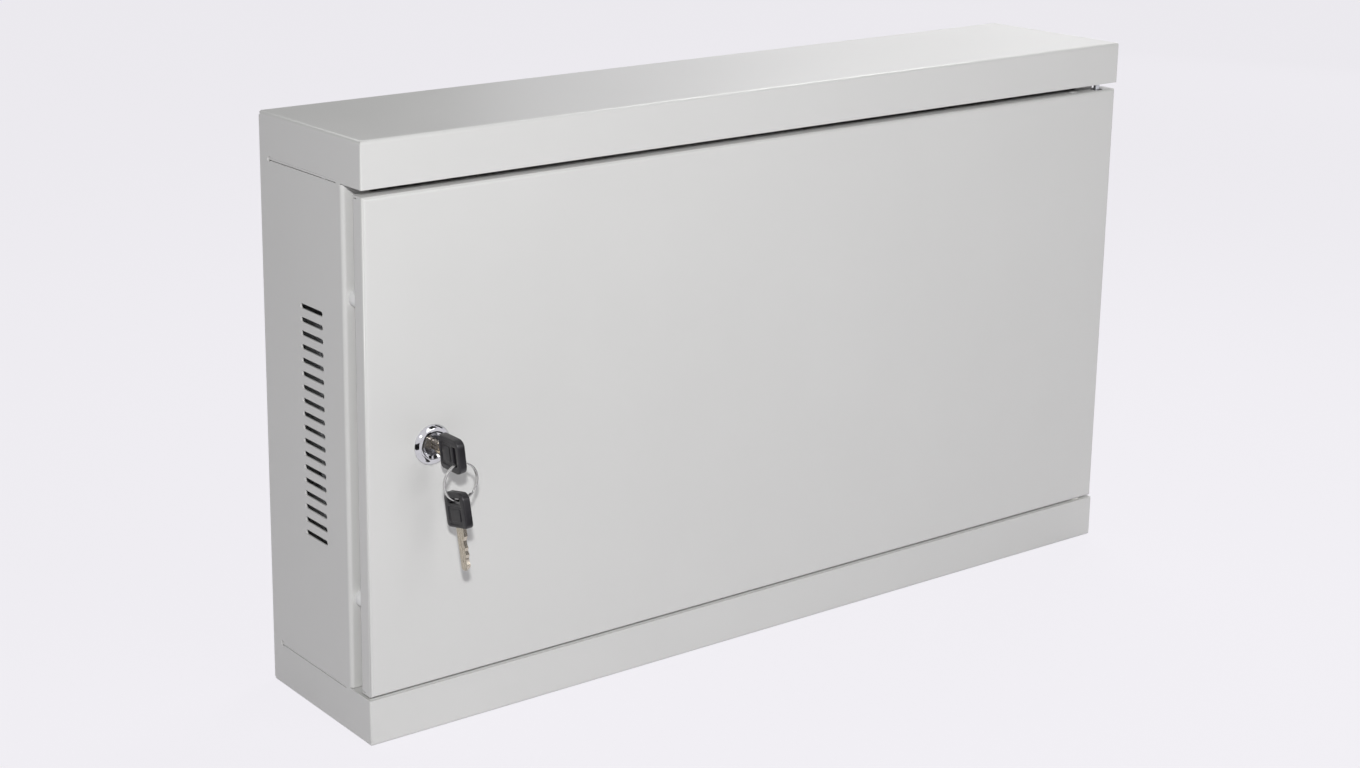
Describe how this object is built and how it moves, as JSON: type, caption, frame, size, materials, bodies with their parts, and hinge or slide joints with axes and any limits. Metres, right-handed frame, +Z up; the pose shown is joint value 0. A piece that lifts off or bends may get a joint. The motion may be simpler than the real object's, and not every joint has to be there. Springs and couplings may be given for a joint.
{
  "type": "wall-mounted network rack cabinet",
  "caption": "Slim wall-mounted 19 inch rack cabinet with hood and plinth, hinged flush door with cam lock and keys, slotted sides and inner rack brackets.",
  "frame": {"origin": "centre of the flat face that the cabinet stands on, midway between its sides and midway between its front and its back panel", "axes": "+X to the right across the width, -Y out of the door, +Y into the wall, +Z up"},
  "size_m": [0.6, 0.1496, 0.355],
  "materials": {
    "powder_coated_steel": "light grey powder coat with a fine orange-peel texture, satin",
    "galvanised_steel": "hot-dip galvanised sheet, dull with a faint spangle",
    "zinc_plated_steel": "bright zinc plate, slightly bluish",
    "black_rubber": "moulded black rubber, matt",
    "clear_silicone": "milky clear silicone, soft sheen",
    "white_nylon": "natural nylon, smooth",
    "black_nylon": "moulded black nylon, fine texture",
    "chromed_zinc": "bright chrome on a zinc die casting",
    "plug_chrome": "chromed plug face, slightly worn round the keyway",
    "nickel_silver": "nickel-plated brass, milled grooves and cuts",
    "key_plastic": "moulded black plastic with a fine texture",
    "ring_steel": "nickel-plated spring wire"
  },
  "bodies": {
    "cabinet": {"top_panel": "powder_coated_steel", "bottom_panel": "powder_coated_steel", "left_side_panel": "powder_coated_steel", "right_side_panel": "powder_coated_steel", "back_panel": "powder_coated_steel", "upper_deck": "powder_coated_steel", "lower_deck": "powder_coated_steel", "cable_grommets": "black_rubber", "left_rack_bracket": "galvanised_steel", "right_rack_bracket": "galvanised_steel", "bracket_studs": "zinc_plated_steel", "bracket_nuts": "zinc_plated_steel", "body_earth_stud": "zinc_plated_steel", "body_earth_nut": "zinc_plated_steel", "door_buffers": "clear_silicone", "upper_hinge_pin": "zinc_plated_steel", "lower_hinge_pin": "zinc_plated_steel", "hinge_washer": "white_nylon"},
    "door": {"door_panel": "powder_coated_steel", "upper_hinge_bush": "black_nylon", "lower_hinge_bush": "black_nylon", "door_earth_stud": "zinc_plated_steel", "door_earth_nut": "zinc_plated_steel", "lock_housing": "chromed_zinc", "lock_nut": "zinc_plated_steel"},
    "plug": {"lock_plug": "plug_chrome", "lock_cam": "zinc_plated_steel", "cam_washer": "zinc_plated_steel", "cam_bolt": "zinc_plated_steel"},
    "key": {"key_blade": "nickel_silver", "key_head": "key_plastic"},
    "ring": {"key_ring": "ring_steel"},
    "spare_key": {"spare_key_blade": "nickel_silver", "spare_key_head": "key_plastic"}
  },
  "joints": [
    {"name": "door_hinge", "type": "hinge", "parent": "cabinet", "child": "door", "pos_m": [0.2865, -0.051, 0.1767], "axis": [0, 0, 1], "range_deg": [0, 160]},
    {"name": "lock_turn", "type": "hinge", "parent": "door", "child": "plug", "pos_m": [-0.256, -0.057, 0.1751], "axis": [0, 1, 0], "range_deg": [0, 90]},
    {"name": "key_slide", "type": "slide", "parent": "plug", "child": "key", "axis": [0, -1, 0], "range_m": [0, 0.02]},
    {"name": "ring_swing", "type": "hinge", "parent": "key", "child": "ring", "pos_m": [-0.25553, -0.08355, 0.17101], "axis": [0.9936, 0, 0.1132], "range_deg": [-40, 12]},
    {"name": "spare_key_swing", "type": "hinge", "parent": "ring", "child": "spare_key", "pos_m": [-0.25429, -0.08355, 0.14918], "axis": [1, 0, 0], "range_deg": [-40, 12]}
  ]
}
